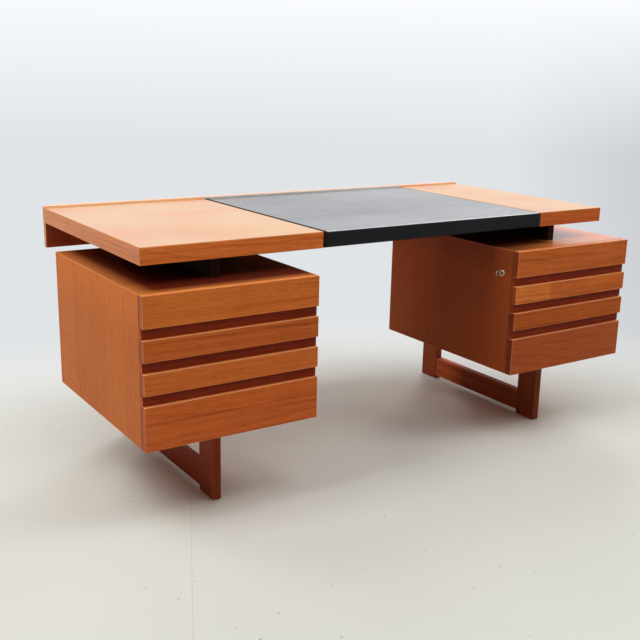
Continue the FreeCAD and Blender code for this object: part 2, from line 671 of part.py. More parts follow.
def bar_guides():
    """Straps that hold each lock bar against its panel, behind two of the set-back strips."""
    channel_depth = "bar_thick + 2 * running_clearance"
    channel_width = "bar_width + 2 * running_clearance"
    straps = []
    for name, side in sides.items():
        for number in (drawer_numbers[0], drawer_numbers[2]):
            low = f"front_low_{number} - (finger_gap + guide_height) / 2"
            strap_depth, strap_width = f"{channel_depth} + guide_thick", f"{channel_width} + 2 * guide_foot"
            strap = block(f"{name}_strap_{number}", (strap_depth, strap_width, "guide_height"),
                          (beside(side, "inside_near", strap_depth), f"lock_axis_y - ({strap_width}) / 2", low))
            cut_depth = f"{channel_depth} + overrun"
            cut_size = (cut_depth, channel_width, "guide_height + 2 * overrun")
            channel = block(f"{name}_channel_{number}", cut_size,
                            (beside(side, "inside_near - overrun", cut_depth),
                             f"lock_axis_y - ({channel_width}) / 2", f"{low} - overrun"))
            straps.append(carved(f"{name}_guide_{number}", strap, [channel]))
    keep(grouped("lock_bar_guides", straps))


def key(name, side):
    """Flat key standing upright in the plug, with a ring for a bow."""
    bow_middle = "inner_face - flange_thick + plug_recess - key_neck - key_bow_diameter / 2"
    bow_place = (f"{side} * ({bow_middle})", "lock_axis_y - key_thick / 2", "lock_axis_z")
    bow = rod(f"{name}_bow", "key_bow_diameter", "key_thick", bow_place, "y")
    blade_start = f"{bow_middle} + key_bow_hole / 2"
    blade_length = "(key_bow_diameter - key_bow_hole) / 2 + key_neck + key_blade_length"
    blade = block(f"{name}_blade", (blade_length, "key_thick", "key_blade_height"),
                  (beside(side, blade_start, blade_length), "lock_axis_y - key_thick / 2",
                   "lock_axis_z - key_blade_height / 2"))
    hole_place = (f"{side} * ({bow_middle})", "lock_axis_y - key_thick / 2 - overrun", "lock_axis_z")
    hole = rod(f"{name}_bow_hole", "key_bow_hole", "key_thick + 2 * overrun", hole_place, "y")
    keep(carved(f"{name}_lock_key", joined(f"{name}_key_blank", [bow, blade]), [hole]))


table_top()
floor_glides()
wood_screws()
post_bolts()
for name, side in sides.items():
    leg_frame(name, side)
    carcase(name, side)
    lock(name, side)
    for number in drawer_numbers:
        drawer(name, side, number)
bar_guides()
key("right", sides["right"])
doc.recompute()

for item in doc.Objects:
    if "Invalid" in item.State or "Error" in item.State:
        raise RuntimeError(f"{item.Label} failed: {item.State}")
for item in parts:
    if item.Shape.isNull() or not item.Shape.isValid():
        raise RuntimeError(f"{item.Label} has no valid shape")

os.makedirs("parts", exist_ok=True)
for item in parts:
    item.Shape.exportStep(f"parts/{item.Label}.step")
print(len(parts), "pieces written")
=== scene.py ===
import math
import bmesh
import bpy
import numpy as np
from mathutils import Matrix, Vector


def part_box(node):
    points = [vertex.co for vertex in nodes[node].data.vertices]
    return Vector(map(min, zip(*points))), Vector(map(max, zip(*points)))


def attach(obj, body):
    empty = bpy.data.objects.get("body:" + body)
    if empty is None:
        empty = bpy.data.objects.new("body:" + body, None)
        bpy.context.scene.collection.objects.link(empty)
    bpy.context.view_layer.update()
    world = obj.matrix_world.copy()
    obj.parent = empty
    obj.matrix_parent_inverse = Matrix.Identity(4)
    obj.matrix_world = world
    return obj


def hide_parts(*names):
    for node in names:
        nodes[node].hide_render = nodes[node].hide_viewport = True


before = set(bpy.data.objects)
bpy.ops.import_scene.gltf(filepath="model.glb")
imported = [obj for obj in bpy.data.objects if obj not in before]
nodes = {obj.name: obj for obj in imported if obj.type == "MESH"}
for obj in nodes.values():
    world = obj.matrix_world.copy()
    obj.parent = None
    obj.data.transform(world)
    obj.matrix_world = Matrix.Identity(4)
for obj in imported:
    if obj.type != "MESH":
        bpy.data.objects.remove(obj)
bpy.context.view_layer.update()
scene = bpy.context.scene
scene.view_settings.view_transform = "Standard"
print("frame:", len(nodes), "nodes")

pedestalSides = {"left": -1, "right": 1}
topLow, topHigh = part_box("top_board")
hideLow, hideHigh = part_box("leather_cover")


# shader helpers

tree = None  # the node tree that the helpers are filling


def paint(red, green, blue):
    # a colour as it is seen, 0 to 255, turned to linear light
    seen = np.array((red, green, blue)) / 255
    linear = np.where(seen <= 0.04045, seen / 12.92, ((seen + 0.055) / 1.055) ** 2.4)
    return (*linear.tolist(), 1.0)


def addNode(kind, **settings):
    node = tree.nodes.new("ShaderNode" + kind)
    for key, value in settings.items():
        setattr(node, key, value)
    return node


def feed(socket, value):
    # another node's socket is linked, a plain value is set on the socket itself
    if isinstance(value, bpy.types.NodeSocket):
        tree.links.new(value, socket)
    else:
        socket.default_value = value


def filled(node, *values):
    # values go to the sockets in their order
    for socket, value in zip(node.inputs, values):
        feed(socket, value)
    return node


def calc(operation, *values):
    return filled(addNode("Math", operation=operation), *values).outputs[0]


def times(first, second):
    return calc("MULTIPLY", first, second)


def timesPlus(value, factor, base):
    return calc("MULTIPLY_ADD", value, factor, base)


def vectorCalc(operation, first, second, answer="Vector"):
    return filled(addNode("VectorMath", operation=operation), first, second).outputs[answer]


def dot(first, second):
    return vectorCalc("DOT_PRODUCT", first, second, "Value")


def scaled(vector, factor):
    node = filled(addNode("VectorMath", operation="SCALE"), vector)
    feed(node.inputs["Scale"], factor)
    return node.outputs["Vector"]


def split(vector):
    return tuple(filled(addNode("SeparateXYZ"), vector).outputs)


def combine(x, y, z):
    return filled(addNode("CombineXYZ"), x, y, z).outputs[0]


def noise(point, waves, detail=2.0, roughness=0.5):
    # waves is how many there are in a metre along each axis, detail adds finer ones
    node = addNode("TexNoise")
    feed(node.inputs["Vector"], vectorCalc("MULTIPLY", point, waves))
    node.inputs["Scale"].default_value = 1.0
    node.inputs["Detail"].default_value = detail
    node.inputs["Roughness"].default_value = roughness
    return node.outputs["Fac"]


def dice(number):
    # one random value for each whole number
    node = addNode("TexWhiteNoise", noise_dimensions="1D")
    feed(node.inputs["W"], number)
    return node.outputs["Value"]


def remap(value, fromLow, fromHigh, toLow=0.0, toHigh=1.0):
    return filled(addNode("MapRange"), value, fromLow, fromHigh, toLow, toHigh).outputs[0]


def mixed(factor, first, second, kind="RGBA", blend="MIX"):
    node = addNode("Mix", data_type=kind)
    if kind == "RGBA":
        node.blend_type = blend
    start = {"VECTOR": 4, "RGBA": 6}[kind]
    feed(node.inputs[0], factor)
    feed(node.inputs[start], first)
    feed(node.inputs[start + 1], second)
    return node.outputs[{"VECTOR": 1, "RGBA": 2}[kind]]


def swing(value, middle, reach):
    # a value about the middle, moved at most half the reach up or down
    return timesPlus(calc("SUBTRACT", value, 0.5), reach, middle)


def newGroup(name, inputs, outputs):
    global tree
    tree = bpy.data.node_groups.new(name, "ShaderNodeTree")
    for label, kind in inputs.items():
        tree.interface.new_socket(label, in_out="INPUT", socket_type="NodeSocket" + kind)
    for label, kind in outputs.items():
        tree.interface.new_socket(label, in_out="OUTPUT", socket_type="NodeSocket" + kind)
    return tree.nodes.new("NodeGroupInput").outputs, tree.nodes.new("NodeGroupOutput").inputs


def useGroup(group, **values):
    node = addNode("Group", node_tree=group)
    for label, value in values.items():
        feed(node.inputs[label], value)
    return node.outputs


def newMaterial(name, **settings):
    global tree
    material = bpy.data.materials.new(name)
    material.use_nodes = True
    tree = material.node_tree
    shader = tree.nodes["Principled BSDF"]
    for label, value in settings.items():
        shader.inputs[label].default_value = value
    return material, shader.inputs


def bumped(shader, height, strength, depth):
    node = addNode("Bump")
    node.inputs["Strength"].default_value = strength
    node.inputs["Distance"].default_value = depth
    feed(node.inputs["Height"], height)
    feed(shader["Normal"], node.outputs[0])


# effects that several finishes share

logCut = {"boardStep": (3.1, 0.77, 0.53), "endTurn": 0.7}  # how far apart in the log the boards are cut


def makeGrainTurn():
    # turns a point so that X runs along the grain; end faces take a direction of their own
    given, made = newGroup(
        "grainTurn",
        {"Point": "Vector", "Face": "Vector", "Along": "Vector", "EndAlong": "Vector", "Seed": "Float"},
        {"Grain": "Vector"})
    facing = calc("ABSOLUTE", dot(given["Face"], given["Along"]))
    isEnd = calc("GREATER_THAN", facing, logCut["endTurn"])
    axis = mixed(isEnd, given["Along"], given["EndAlong"], "VECTOR")
    x, y, z = split(axis)
    axes = (axis, combine(z, x, y), combine(y, z, x))
    turned = combine(*[dot(given["Point"], a) for a in axes])
    shift = scaled(logCut["boardStep"], given["Seed"])
    feed(made["Grain"], vectorCalc("ADD", turned, shift))
    return tree


# waves in a metre along and across the grain, places in metres, and how much each part adds to the tone
figureShape = {
    "leafStep": (1.7, 0.31, 0.23), "leafRows": 17.0,
    "heartLean": 0.05, "heartAside": 0.11, "heartBelow": 0.15,
    "slowWaves": (0.8, 4, 4), "slowReach": 0.07, "quickWaves": (4, 22, 22), "quickReach": 0.010,
    "lateWood": (0.2, 0.85), "lateEnd": (1.0, 0.88), "ringTones": (0.25, 1.0),
    "fibre": (7, 380, 380), "streak": (1.6, 95, 95), "streakSpan": (0.5, 0.74), "figure": (11, 2.5, 2.5),
    "cloud": (1.5, 3, 3), "pores": (34, 1300, 1300), "poreSpan": (0.58, 0.7), "poreDark": 0.45,
    "shares": {"rings": 0.24, "fibre": 0.6, "streak": 0.34, "figure": 0.2, "cloud": 0.4, "leaf": 0.2},
    "toneLift": 0.17, "fibreHeight": 0.3, "fibreGloss": 0.1, "poreGloss": 0.12,
}


def makeWoodFigure():
    # growth rings round a leaning heart, cut through by the board, with fibres, streaks, pores and leaves
    look = figureShape
    given, made = newGroup(
        "woodFigure",
        {"Grain": "Vector", "LeafY": "Float", "LeafZ": "Float", "Ring": "Float", "Contrast": "Float",
         "Light": "Color", "Mid": "Color", "Dark": "Color"},
        {"Color": "Color", "Height": "Float", "Gloss": "Float"})
    _, y, z = split(given["Grain"])
    leafRow = calc("FLOOR", calc("DIVIDE", y, given["LeafY"]))
    leafColumn = calc("FLOOR", calc("DIVIDE", z, given["LeafZ"]))
    leafTone = dice(timesPlus(leafColumn, look["leafRows"], leafRow))
    point = vectorCalc("ADD", given["Grain"], scaled(look["leafStep"], leafTone))
    x, y, z = split(point)
    slow = swing(noise(point, look["slowWaves"]), 0.0, look["slowReach"])
    quick = swing(noise(point, look["quickWaves"]), 0.0, look["quickReach"])
    aside = timesPlus(x, look["heartLean"], calc("ADD", y, look["heartAside"]))
    below = calc("ADD", z, look["heartBelow"])
    squares = calc("ADD", calc("POWER", aside, 2.0), calc("POWER", below, 2.0))
    waved = calc("ADD", calc("SQRT", squares), calc("ADD", slow, quick))
    phase = calc("DIVIDE", waved, given["Ring"])
    growth = calc("FRACT", phase)
    late = times(remap(growth, *look["lateWood"]), remap(growth, *look["lateEnd"]))
    ringTone = remap(dice(calc("FLOOR", phase)), 0, 1, *look["ringTones"])
    fibre = noise(point, look["fibre"], 3.0, 0.6)
    pores = remap(noise(point, look["pores"], 1.0), *look["poreSpan"])
    parts = {
        "rings": times(late, ringTone), "fibre": fibre, "leaf": leafTone,
        "streak": remap(noise(point, look["streak"]), *look["streakSpan"]),
        "figure": noise(point, look["figure"], 1.0), "cloud": noise(point, look["cloud"], 1.0)}
    total = look["toneLift"] - sum(look["shares"].values()) / 2
    for part, share in look["shares"].items():
        total = timesPlus(parts[part], share, total)
    tone = timesPlus(total, given["Contrast"], 0.5)
    pale = mixed(remap(tone, 0.0, 0.5), given["Light"], given["Mid"])
    veneer = mixed(remap(tone, 0.5, 1.0), pale, given["Dark"])
    feed(made["Color"], mixed(times(pores, look["poreDark"]), veneer, given["Dark"], blend="MULTIPLY"))
    feed(made["Height"], calc("SUBTRACT", times(fibre, look["fibreHeight"]), pores))
    feed(made["Gloss"], timesPlus(pores, look["poreGloss"], times(fibre, look["fibreGloss"])))
    return tree


edgeWearAndGlintSize = {"width": 0.0022, "waves": (45, 45, 45), "uneven": 1.6}


def makeEdgeWearAndGlint():
    # how near a point of a squared board is to an edge: the second smallest of its distances to the faces;
    # the pale edges this gives are partly wear and partly a painted highlight
    given, made = newGroup(
        "edgeWearAndGlint", {"Point": "Vector", "Low": "Vector", "High": "Vector", "Width": "Float"},
        {"WearAndGlint": "Float"})
    toLow = vectorCalc("SUBTRACT", given["Point"], given["Low"])
    toHigh = vectorCalc("SUBTRACT", given["High"], given["Point"])
    a, b, c = split(vectorCalc("MINIMUM", toLow, toHigh))
    second = calc("MAXIMUM", calc("MINIMUM", a, b), calc("MINIMUM", calc("MAXIMUM", a, b), c))
    uneven = swing(noise(given["Point"], edgeWearAndGlintSize["waves"]), 1.0, edgeWearAndGlintSize["uneven"])
    feed(made["WearAndGlint"], remap(second, 0.0, times(given["Width"], uneven), 1.0, 0.0))
    return tree


facingSpan = (0.6, 0.95)  # how squarely a face looks to a side before it counts, from not at all to wholly
handMarks = {"wideWaves": (3.5, 3.5, 3.5), "wideSpan": (0.4, 0.7), "wipeWaves": (8, 40, 40),
             "speckWaves": (900, 900, 900), "speckSpan": (0.66, 0.72)}


def makeHandling():
    # smears left by hands and cloths, dust that settles on faces that look up, and how far a face looks up
    given, made = newGroup("handling", {"Point": "Vector", "Face": "Vector"},
                           {"Smear": "Float", "Dust": "Float", "Upward": "Float"})
    wide = noise(given["Point"], handMarks["wideWaves"], 3.0)
    wiped = noise(given["Point"], handMarks["wipeWaves"], 2.0)
    feed(made["Smear"], times(remap(wide, *handMarks["wideSpan"]), wiped))
    _, _, up = split(given["Face"])
    upward = remap(up, *facingSpan)
    specks = remap(noise(given["Point"], handMarks["speckWaves"], 1.0), *handMarks["speckSpan"])
    feed(made["Dust"], times(times(specks, upward), wide))
    feed(made["Upward"], upward)
    return tree


grainTurn = makeGrainTurn()
woodFigure = makeWoodFigure()
edgeWearAndGlint = makeEdgeWearAndGlint()
handling = makeHandling()
print("effects: grain, figure, rubbed edges, handling")


# wood finishes

axisOf = {"x": (1, 0, 0), "y": (0, 1, 0), "z": (0, 0, 1)}
lookingTo = {"left": (-1, 0, 0), "right": (1, 0, 0), "front": (0, -1, 0), "back": (0, 1, 0)}

# each kind of wood: colours as seen, ring width in metres, contrast of the figure, shine of the bare wood,
# lacquer on faces that look up, how much paler those faces are, partly sun fade and partly painted sheen,
# and the wear of the edges, partly a painted highlight
anyWood = {"contrast": 0.8, "roughness": 0.5, "shine": 0.08, "lacquer": 0.0, "lacquerRough": 0.35,
           "fadedAndSheenColour": (232, 200, 158), "fadeAndSheen": 0.0, "wearAndGlint": 0.4}
tableTeak = {"light": (214, 118, 52), "mid": (200, 98, 38), "dark": (140, 56, 18), "ring": 0.010,
             "roughness": 0.42, "lacquerRough": 0.28, "edge": (226, 146, 82)}
woods = {
    "teak_top": {**tableTeak, "lacquer": 1.0, "fadedAndSheenColour": (200, 148, 88), "fadeAndSheen": 0.8},
    "teak_apron": {**tableTeak, "contrast": 0.9, "lacquer": 0.25,
                   "fadedAndSheenColour": (232, 178, 138), "fadeAndSheen": 0.95},
    "teak_front": {"light": (231, 133, 58), "mid": (214, 107, 42), "dark": (143, 57, 18), "ring": 0.009,
                   "contrast": 0.66, "roughness": 0.42, "lacquer": 0.7,
                   "fadedAndSheenColour": (216, 130, 58), "fadeAndSheen": 0.4, "edge": (246, 178, 122)},
    "teak_panel": {"light": (206, 122, 60), "mid": (194, 108, 48), "dark": (146, 68, 28), "ring": 0.012,
                   "contrast": 0.3, "roughness": 0.48, "lacquer": 0.85, "lacquerRough": 0.3,
                   "fadedAndSheenColour": (210, 130, 62), "fadeAndSheen": 0.5, "edge": (222, 146, 82), "wearAndGlint": 0.25},
    "teak_strip": {"light": (144, 62, 32), "mid": (128, 48, 23), "dark": (80, 26, 11), "ring": 0.008,
                   "edge": (176, 92, 50), "wearAndGlint": 0.2},
    "teak_leg": {"light": (147, 70, 36), "mid": (132, 57, 28), "dark": (89, 33, 14), "ring": 0.008,
                 "lacquer": 0.2, "lacquerRough": 0.4,
                 "fadedAndSheenColour": (170, 92, 50), "fadeAndSheen": 0.2, "edge": (180, 100, 60)},
    "black_wood": {"light": (54, 27, 16), "mid": (42, 20, 12), "dark": (24, 12, 8), "ring": 0.006,
                   "contrast": 0.7, "shine": 0.06, "edge": (44, 34, 28), "wearAndGlint": 0.3},
    "drawer_wood": {"light": (228, 190, 146), "mid": (214, 172, 126), "dark": (182, 134, 88), "ring": 0.004,
                    "contrast": 0.7, "shine": 0.2, "edge": (236, 204, 164)},
    "drawer_ply": {"light": (232, 200, 158), "mid": (222, 186, 142), "dark": (190, 148, 104), "ring": 0.018,
                   "contrast": 0.7, "shine": 0.2, "edge": (238, 210, 172)},
}

# wear that every wood shares: how much smears and rubbed edges change the shine, and the dust
woodWear = {"smearRough": 0.08, "rubRough": 0.08, "smearDull": 0.25, "dust": (214, 206, 196),
            "dustShare": 0.25, "bump": 0.2, "bumpDepth": 0.0003}
frontArrisLightSize = {"width": 0.0026, "share": 0.5}  # painted highlight along the upper arris of a drawer front
gapShade = {"width": 0.0032, "tint": (0.3, 0.22, 0.2)}  # painted shade beside the thin gap behind the drawer fronts
wholeLeaf = 50.0  # a leaf far wider than the desk, so that one piece of veneer covers the board


def tinted(mask, colour, tint):
    return mixed(mask, colour, (*tint, 1.0), blend="MULTIPLY")


def dulled(mask, colour, polished, tint):
    # inside the mask the colour is darkened and the polish taken away
    return tinted(mask, colour, tint), times(polished, calc("SUBTRACT", 1.0, mask))


def turnedTo(face, side):
    # 1 where a face looks to that side, 0 where it looks elsewhere
    return remap(dot(face, lookingTo[side]), *facingSpan)


def paintedShadingAndVeneer(colour, board, box, point, face):
    # painted light and shade on one board, and a paler leaf of veneer
    x, y, z = split(point)
    low, high = box
    # painted light and shade: each side that a board looks to gets its own tint
    for side, tint in board.get("paintedSideShading", {}).items():
        turned = turnedTo(face, side)
        if "fadedAndLitAbove" in board:
            turned = times(turned, calc("LESS_THAN", z, board["fadedAndLitAbove"]))
        colour = tinted(turned, colour, tint)
    if "fingerGapShade" in board:  # painted shade: each finger gap is darker towards its top, under the front above
        gaps = board["fingerGapShade"]
        risen = calc("DIVIDE", calc("SUBTRACT", z, gaps["start"]), gaps["pitch"])
        upper = remap(calc("FRACT", risen), 0.0, gaps["height"] / gaps["pitch"])
        colour = tinted(upper, colour, gaps["tint"])
    if "patch" in board:  # a paler leaf of veneer at the left end
        leaf = board["patch"]
        edge = low.x + leaf["share"] * (high.x - low.x)
        ragged = swing(noise(point, leaf["waves"]), edge, leaf["ragged"])
        colour = tinted(calc("LESS_THAN", x, ragged), colour, leaf["tint"])
    for shading in board.get("paintedShading", []):  # painted light and shade: paler or darker over part of the board
        reach = turnedTo(face, shading["facing"]) if "facing" in shading else 1.0
        for along, span in shading["over"].items():
            reach = times(remap({"x": x, "y": y, "z": z}[along], *span), reach)
        colour = tinted(reach, colour, shading["tint"])
    # painted shade: the edge beside the gap behind the drawer fronts is painted dark
    if "gapAt" in board:
        start, inward = {"back": (high.y, -1), "front": (low.y, 1)}[board["gapAt"]]
        depth = inward * gapShade["width"]
        colour = tinted(remap(y, start + depth, start + depth / 2), colour, gapShade["tint"])
    return colour


def woodFinish(name, board, box, seed):
    look = {**anyWood, **woods[board["wood"]]}
    low, high = box
    material, shader = newMaterial(
        name, **{"Specular IOR Level": look["shine"],
                 "Coat Roughness": board.get("polish", look["lacquerRough"])})
    coords = addNode("TexCoord").outputs
    point, face = coords["Object"], coords["Normal"]
    x, y, z = split(point)
    along, atEnds = (axisOf[axis] for axis in board["grain"])
    grain = useGroup(grainTurn, Point=point, Face=face, Along=along, EndAlong=atEnds, Seed=seed)
    tint = np.array(board.get("tint", (1.0, 1.0, 1.0)))
    shades = {key.capitalize(): (*(np.array(paint(*look[key])[:3]) * tint), 1.0)
              for key in ("light", "mid", "dark")}
    leafY, leafZ = board.get("leaves", (wholeLeaf, wholeLeaf))
    figure = useGroup(woodFigure, Grain=grain["Grain"], LeafY=leafY, LeafZ=leafZ,
                      Ring=look["ring"], Contrast=look["contrast"], **shades)
    wearAndGlint = useGroup(edgeWearAndGlint, Point=point, Low=low, High=high, Width=edgeWearAndGlintSize["width"])["WearAndGlint"]
    hand = useGroup(handling, Point=point, Face=face)
    polished = hand["Upward"]
    if "fadedAndLitAbove" in board:  # the lip that stands above the table top is painted as pale as the top: partly sun fade, partly painted light on its faces
        polished = calc("MAXIMUM", polished, calc("GREATER_THAN", z, board["fadedAndLitAbove"]))
    # faces that look up are painted paler: partly sun fade, partly a painted sheen
    fadeAndSheen = times(polished, look["fadeAndSheen"])
    if "patches" in board:  # the paleness of faces that look up, partly sun fade and partly painted sheen, varies in soft patches
        patches = board["patches"]
        fadeAndSheen = times(fadeAndSheen, swing(noise(point, patches["waves"], 1.0), 1.0, patches["reach"]))
    colour = mixed(fadeAndSheen, figure["Color"], paint(*look["fadedAndSheenColour"]))
    for side, share in board.get("polishedEnds", {}).items():
        polished = calc("MAXIMUM", polished, times(turnedTo(face, side), share))
    if "kerf" in board:  # painted shade in the thin groove beside the leather's left border: the wood there is painted dark and takes no polish
        kerf = board["kerf"]
        away = calc("ABSOLUTE", calc("SUBTRACT", x, kerf["at"]))
        inside = times(hand["Upward"], remap(away, kerf["width"], kerf["width"] / 2))
        colour, polished = dulled(inside, colour, polished, kerf["tint"])
    if "paintedSlabShadow" in board:  # painted shadow of the table top: the wood under it is painted dark and its polish taken away
        shadowed = board["paintedSlabShadow"]
        inside = times(remap(y, *shadowed["depth"]), remap(x, *shadowed["reach"]))
        colour, polished = dulled(inside, colour, polished, shadowed["tint"])
    colour = paintedShadingAndVeneer(colour, board, box, point, face)
    # pale edges, partly wear and partly a painted highlight on the arrises
    worn = times(wearAndGlint, look["wearAndGlint"])
    # painted highlight along the upper arris of each drawer front
    if board["wood"] == "teak_front":
        width = frontArrisLightSize["width"]
        share = board.get("frontArrisLight", frontArrisLightSize["share"])
        frontArrisLight = times(remap(z, high.z - width, high.z - width / 2, 0.0, share),
                     remap(y, low.y + 2 * width, low.y + width))
        worn = calc("MAXIMUM", worn, frontArrisLight)
        polished = calc("MAXIMUM", polished, frontArrisLight)
    colour = mixed(worn, colour, paint(*look["edge"]))
    dust = times(hand["Dust"], woodWear["dustShare"])
    feed(shader["Base Color"], mixed(dust, colour, paint(*woodWear["dust"])))
    rough = calc("ADD", figure["Gloss"], look["roughness"] - figureShape["fibreGloss"] / 2)
    rough = timesPlus(hand["Smear"], woodWear["smearRough"], rough)
    feed(shader["Roughness"], timesPlus(wearAndGlint, woodWear["rubRough"], rough))
    lacquer = timesPlus(hand["Smear"], -woodWear["smearDull"], look["lacquer"])
    feed(shader["Coat Weight"], times(polished, calc("MAXIMUM", lacquer, 0.0)))
    bumped(shader, figure["Height"], woodWear["bump"], woodWear["bumpDepth"])
    return material


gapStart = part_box("left_drawer_4_front")[1].z
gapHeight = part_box("left_drawer_3_front")[0].z - gapStart
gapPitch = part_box("left_drawer_3_front")[1].z - gapStart
arrisSpan = (topHigh.z - 0.0035, topHigh.z - 0.0015)  # the table top's upper front edge, where a highlight is painted
lipSpan = (topHigh.z - 0.001, topHigh.z)  # where the rear apron comes up past the table top
leatherStart = (hideLow.x - 0.002, hideLow.x + 0.002)
leatherEnd = (hideHigh.x - 0.002, hideHigh.x + 0.002)

# wood of each board, the way its grain runs and the way on the ends, veneer leaf widths across the grain,
# and the painted light and shade on them: tints are factors on red, green and blue, spans are in metres
boards = {
    "top_board": {
        "wood": "teak_top", "grain": "xy", "leaves": (0.187, wholeLeaf),
        "polishedEnds": {"left": 0.6, "right": 0.6}, "patches": {"waves": (4, 5, 5), "reach": 2.0},
        # painted light: the ends are painted paler, and the front face paler and bluer still, a painted
        # reflection
        "paintedSideShading": {"left": (1.14, 1.44, 0.78), "right": (1.14, 1.44, 0.78), "front": (1.38, 1.62, 2.0)},
        # painted shade on the front face right of 0.55 m, and a painted highlight along its upper arris
        "paintedShading": [{"over": {"x": (0.54, 0.56)}, "facing": "front", "tint": (0.74, 0.7, 0.68)},
                  {"over": {"z": arrisSpan}, "facing": "front", "tint": (1.2, 1.8, 2.7)}],
        # painted shade in the groove beside the leather's left border
        "kerf": {"at": hideLow.x, "width": 0.002, "tint": (0.15, 0.1, 0.08)}},
    "rear_apron": {
        "wood": "teak_apron", "grain": "xz", "polishedEnds": {"left": 0.9, "right": 0.9},
        # painted reflection on the ends, painted shade on the front face under the top and on the back
        "paintedSideShading": {"left": (1.25, 2.7, 6.0), "right": (1.25, 2.7, 6.0), "front": (0.55, 0.59, 1.6),
                      "back": (0.72, 0.86, 1.3)},
        # painted light on the lip's front, paler and bluer by the leather's left border and darker by its
        # right one
        "paintedShading": [{"over": {"z": lipSpan}, "facing": "front", "tint": (1.2, 1.5, 1.7)},
                  {"over": {"z": lipSpan, "x": leatherStart}, "facing": "front", "tint": (1.03, 1.45, 2.1)},
                  {"over": {"z": lipSpan, "x": leatherEnd}, "facing": "front", "tint": (0.97, 0.69, 0.48)}],
        "fadedAndLitAbove": topHigh.z - 0.0005},
    "front_post": {"wood": "teak_leg", "grain": "zy"},
    "rear_post": {"wood": "teak_leg", "grain": "zy"},
    "stretcher": {"wood": "teak_leg", "grain": "yz"},
    "top_rail": {"wood": "black_wood", "grain": "yz"},
    "outer_side": {"wood": "teak_panel", "grain": "zy", "leaves": (wholeLeaf, 0.121),
                   "tint": (1.05, 0.97, 0.83), "gapAt": "front"},
    # painted shade: the inner sides are painted dark, paler towards the back and darker near the top
    "inner_side": {"wood": "teak_panel", "grain": "zy", "leaves": (wholeLeaf, 0.121),
                   "tint": (0.565, 0.385, 0.35), "gapAt": "front",
                   "paintedShading": [{"over": {"y": (-0.1, 0.2)}, "tint": (1.6, 1.85, 1.8)},
                             {"over": {"z": (0.54, 0.61)}, "tint": (0.8, 0.82, 0.85)}]},
    "pedestal_top": {"wood": "teak_panel", "grain": "xy", "leaves": (0.152, wholeLeaf), "polish": 0.16},
    "pedestal_bottom": {"wood": "teak_panel", "grain": "xy", "leaves": (0.152, wholeLeaf)},
    # painted shade: the backs are painted darker
    "pedestal_back": {"wood": "teak_panel", "grain": "zx", "leaves": (0.117, wholeLeaf),
                      "tint": (0.8, 0.8, 0.85)},
    # painted shade in the finger gaps, darker towards each gap's top
    "finger_strips": {"wood": "teak_strip", "grain": "xz", "tint": (1.4, 1.25, 1.1),
                      "fingerGapShade": {"start": gapStart, "height": gapHeight, "pitch": gapPitch,
                                     "tint": (0.6, 0.55, 0.5)}},
    "drawer_runners": {"wood": "drawer_wood", "grain": "yz"},
    "front": {"wood": "teak_front", "grain": "xz", "gapAt": "back"},
    "box": {"wood": "drawer_wood", "grain": "yx"},
    "bottom": {"wood": "drawer_ply", "grain": "xy"},
}

# what sets one board apart from others of its kind: its own tone, and on some boards painted light and shade
ownTouches = {
    "left_drawer_1_front": {"tint": (0.98, 1.08, 1.08), "frontArrisLight": 0.2},
    "left_drawer_2_front": {"tint": (0.84, 0.81, 0.89)},
    "left_drawer_3_front": {"tint": (0.93, 0.97, 1.15)},
    "left_drawer_4_front": {"tint": (0.92, 0.86, 1.02)},
    "right_drawer_1_front": {"tint": (0.86, 0.86, 0.99), "frontArrisLight": 0.2},
    "right_drawer_2_front": {"tint": (0.91, 0.95, 1.03),
                             "patch": {"share": 0.3, "ragged": 0.012, "waves": (6, 6, 260),
                                       "tint": (1.18, 1.34, 1.4)}},
    "right_drawer_3_front": {"tint": (0.69, 0.62, 0.51)},
    "right_drawer_4_front": {"tint": (0.64, 0.57, 0.73)},
    "left_front_post": {"tint": (1.15, 1.08, 0.95)},
    "left_stretcher": {"tint": (1.2, 1.12, 0.95)},
    "right_front_post": {"tint": (0.9, 0.95, 1.0)},
    # painted light: the right rear post and stretcher are painted paler, the stretcher most towards the back
    "right_rear_post": {"tint": (1.5, 1.6, 1.6)},
    "right_stretcher": {"tint": (1.4, 1.5, 1.5),
                        "paintedShading": [{"over": {"y": (0.04, 0.15)}, "tint": (2.2, 2.4, 2.3)}]},
    # painted light near the top of the left outer side, painted shade on the right outer side
    "left_outer_side": {"paintedShading": [{"over": {"z": (0.5, 0.61)}, "tint": (1.2, 1.2, 1.2)}]},
    "right_outer_side": {"tint": (0.84, 0.78, 0.7)},
    # painted shadow of the table top on both pedestal tops
    "left_pedestal_top": {
        "paintedSlabShadow": {"depth": (topLow.y - 0.109, topLow.y - 0.041), "reach": (-0.892, -0.816),
                    "tint": (0.11, 0.03, 0.016)}},
    "right_pedestal_top": {
        "tint": (0.78, 0.72, 0.76),
        # painted shade at the front left of the right pedestal top, painted light under the right end of the
        # table top
        "paintedShading": [{"over": {"x": (0.60, 0.42), "y": (-0.45, -0.39)}, "tint": (0.4, 0.3, 0.3)},
                  {"over": {"x": (0.66, 0.72), "y": (-0.40, -0.30)}, "tint": (1.6, 1.25, 1.0)}],
        "paintedSlabShadow": {"depth": (topLow.y - 0.05, topLow.y), "reach": (0.62, 0.57),
                    "tint": (0.12, 0.07, 0.05)}},
}
# painted shade on the drawer fronts' end faces, deepest beside the knee hole, and a painted reflection on
# the finger strips' outer ends
frontEnds = {"outer": {"tint": (0.68, 0.58, 0.56), "polish": 0.2}, "inner": {"tint": (0.4, 0.28, 0.28)}}
stripEnds = {"tint": (2.3, 3.4, 4.2)}


